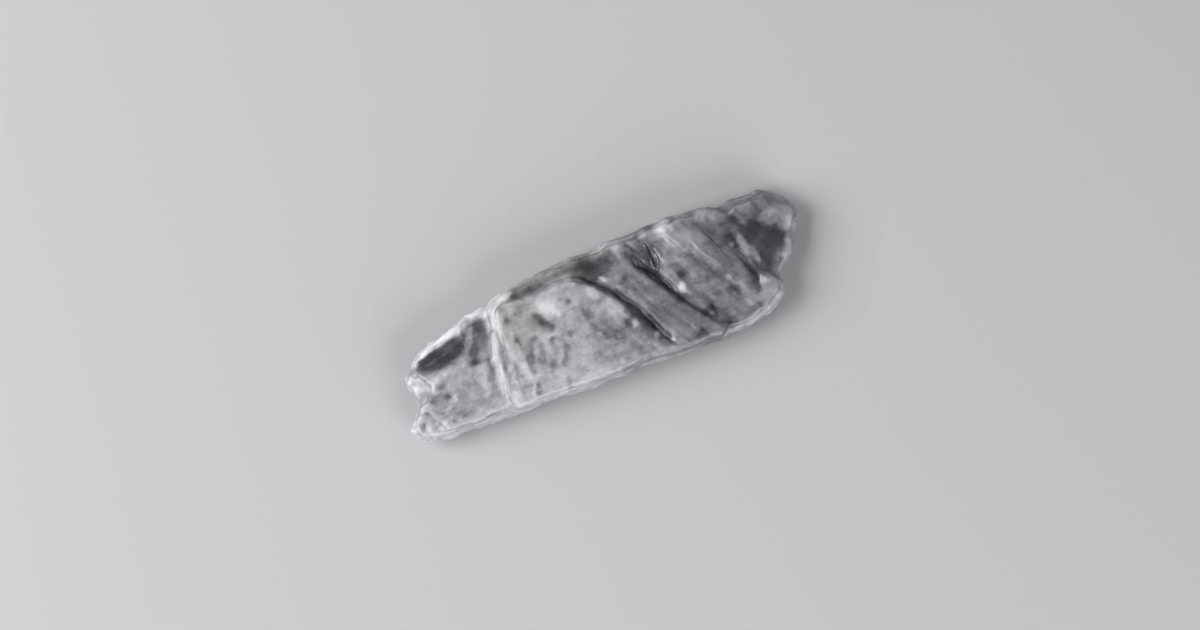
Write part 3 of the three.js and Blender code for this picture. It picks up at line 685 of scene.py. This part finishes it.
class Wiring:
    """Adds nodes to one tree. A value may be a number, a vector or another node's output."""

    def __init__(self, tree):
        self.tree = tree

    def add(self, kind, **settings):
        node = self.tree.nodes.new(kind)
        for setting, value in settings.items():
            setattr(node, setting, value)
        return node

    def feed(self, socket, value):
        if isinstance(value, bpy.types.NodeSocket):
            self.tree.links.new(value, socket)
        else:
            socket.default_value = value

    def number(self, operation, *values):
        node = self.add("ShaderNodeMath", operation=operation)
        for socket, value in zip(node.inputs, values):
            self.feed(socket, value)
        return node.outputs[0]

    def vector(self, operation, *values):
        node = self.add("ShaderNodeVectorMath", operation=operation)
        sockets = [node.inputs[0], node.inputs["Scale"]] if operation == "SCALE" else node.inputs
        for socket, value in zip(sockets, values):
            self.feed(socket, value)
        return node.outputs["Vector"]

    def smooth(self, value, low, high, to_low=0.0, to_high=1.0):
        node = self.add("ShaderNodeMapRange", interpolation_type="SMOOTHSTEP")
        for name, given in (
            ("Value", value), ("From Min", low), ("From Max", high),
            ("To Min", to_low), ("To Max", to_high),
        ):
            self.feed(node.inputs[name], given)
        return node.outputs["Result"]

    def mix(self, share, first, second):
        """Blends two vectors."""
        node = self.add("ShaderNodeMix", data_type="VECTOR")
        self.feed(node.inputs[0], share)
        self.feed(node.inputs[4], first)
        self.feed(node.inputs[5], second)
        return node.outputs[1]

    def stored(self, name):
        """What the mesh stores under this name."""
        return self.add("ShaderNodeAttribute", attribute_name=name).outputs["Fac"]

    def grain(self, place, spread, turn, detail):
        """A soft noise around zero whose grains have this size in mm and turn."""
        turned = self.add("ShaderNodeVectorRotate", rotation_type="Z_AXIS")
        self.feed(turned.inputs["Vector"], place)
        turned.inputs["Angle"].default_value = math.radians(-turn)
        node = self.add("ShaderNodeTexNoise")
        self.feed(node.inputs["Vector"], self.vector("DIVIDE", turned.outputs[0], spread))
        node.inputs["Scale"].default_value = 1
        node.inputs["Detail"].default_value = detail
        return self.number("SUBTRACT", node.outputs["Fac"], 0.5)

    def add_grains(self, start, place, grains, detail=1.0):
        """Adds soft noises to a value. Each has its grain size in mm, its turn and its weight."""
        for spread, turn, weight in grains:
            grain = self.grain(place, spread, turn, detail)
            start = self.number("MULTIPLY_ADD", grain, weight, start)
        return start


def make_selenite():
    """See-through crystal that is milkier where the stored tone is higher, with painted shade in
    clefts and a painted highlight on crests.
    """
    material = bpy.data.materials.new("selenite")
    material.use_nodes = True
    wiring = Wiring(material.node_tree)
    number, smooth = wiring.number, wiring.smooth
    shader = material.node_tree.nodes["Principled BSDF"]
    here = wiring.vector("SCALE", wiring.add("ShaderNodeTexCoord").outputs["Object"], 1 / MM)

    crest_and_cleft = wiring.stored("crest_and_cleft")
    tone = number("MULTIPLY", wiring.stored("tone"), wiring.add_grains(1.0, here, MOTTLING))
    # Painted shade darkens the clefts, and a painted highlight brightens the crests
    tone = number("MULTIPLY", tone, smooth(crest_and_cleft, *CLEFT_PAINTED_SHADE))
    tone = number("MULTIPLY", tone, smooth(crest_and_cleft, *CREST_PAINTED_HIGHLIGHT))

    tint = wiring.mix(smooth(tone, *SMOKY_TONES), SMOKY_TINT, MILKY_TINT)
    tint = wiring.mix(wiring.stored("neutral"), tint, NEUTRAL_TINT)
    # The thicker the milk, the nearer to white, and ever more slowly
    milk = number("MAXIMUM", number("SUBTRACT", tone, CLEAREST), LEAST_MILK)
    left_clear = number("EXPONENT", number("MULTIPLY", milk, -MILK_STRENGTH))
    colour = wiring.vector("SCALE", tint, number("SUBTRACT", 1, left_clear))
    wiring.feed(shader.inputs["Base Color"], colour)

    # Clean cleavage faces are glassy, and worn edges and clefts are satin
    bent = number("ABSOLUTE", number("SUBTRACT", crest_and_cleft, 0.5))
    roughness = smooth(bent, *BENT, smooth(tone, *FACE_ROUGHNESS), WORN_ROUGHNESS)
    wiring.feed(shader.inputs["Roughness"], roughness)
    shader.inputs["IOR"].default_value = REFRACTION
    shader.inputs["Transmission Weight"].default_value = SEE_THROUGH
    shader.inputs["Subsurface Weight"].default_value = SCATTERING
    shader.inputs["Subsurface Radius"].default_value = SCATTER_RADIUS
    shader.inputs["Subsurface Scale"].default_value = SCATTER_REACH * MM

    height = wiring.add_grains(0.0, here, FINE_GRAIN, FINE_DETAIL)
    bump = wiring.add("ShaderNodeBump")
    bump.inputs["Strength"].default_value = FINE_STRENGTH
    bump.inputs["Distance"].default_value = FINE_HEIGHT * MM
    wiring.feed(bump.inputs["Height"], number("MULTIPLY", height, smooth(tone, *FINE_TONES)))
    wiring.feed(shader.inputs["Normal"], bump.outputs["Normal"])
    return material


def make_floor():
    """A plain pale floor."""
    bpy.ops.object.select_all(action="DESELECT")
    bpy.ops.mesh.primitive_plane_add(size=FLOOR_SIZE)
    floor = bpy.context.object
    floor.name = "floor"
    paint = bpy.data.materials.new("pale floor")
    paint.use_nodes = True
    shader = paint.node_tree.nodes["Principled BSDF"]
    shader.inputs["Base Color"].default_value = FLOOR_COLOUR
    shader.inputs["Roughness"].default_value = FLOOR_ROUGHNESS
    floor.data.materials.append(paint)


def hang_lamp(name, place, power):
    """A soft square lamp that looks at the blade."""
    lamp = bpy.data.lights.new(name, "AREA")
    lamp.size, lamp.energy = LAMP_SIZE, power
    holder = bpy.data.objects.new(name, lamp)
    bpy.context.scene.collection.objects.link(holder)
    holder.location = place
    holder.rotation_euler = (-Vector(place)).to_track_quat("-Z", "Y").to_euler()


def light_the_room():
    """Even light from all round, and the soft lamps."""
    room = bpy.data.worlds.new("room")
    room.use_nodes = True
    background = room.node_tree.nodes["Background"]
    background.inputs["Color"].default_value = ROOM_COLOUR
    background.inputs["Strength"].default_value = ROOM_STRENGTH
    bpy.context.scene.world = room
    for name, (place, power) in LAMPS.items():
        hang_lamp(name, place, power)
    bpy.context.scene.view_settings.view_transform = "Standard"


def set_camera():
    """Looks straight down, turned so that the blade lies as it does in the photograph."""
    lens = bpy.data.cameras.new("camera")
    lens.lens, lens.sensor_width = LENS, SENSOR
    camera = bpy.data.objects.new("camera", lens)
    bpy.context.scene.collection.objects.link(camera)
    seen_width = PICTURE_SCALE * PICTURE_WIDTH * MM
    turn = math.radians(-BLADE_TILT_IN_PICTURE)
    right = Vector((math.cos(turn), math.sin(turn), 0))
    up = Vector((-math.sin(turn), math.cos(turn), 0))
    aside = right * BLADE_OFF_CENTRE[0] + up * BLADE_OFF_CENTRE[1]
    camera.location = -aside * PICTURE_SCALE * MM
    camera.location.z = seen_width * LENS / SENSOR + THICKNESS * MM * SCALE_HEIGHT
    camera.rotation_euler = (0, 0, turn)
    bpy.context.scene.camera = camera


set_camera()
crystal = make_crystal()
crystal.data.materials.clear()
crystal.data.materials.append(make_selenite())
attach(crystal, "root")
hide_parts("selenite_blade")
make_floor()
light_the_room()
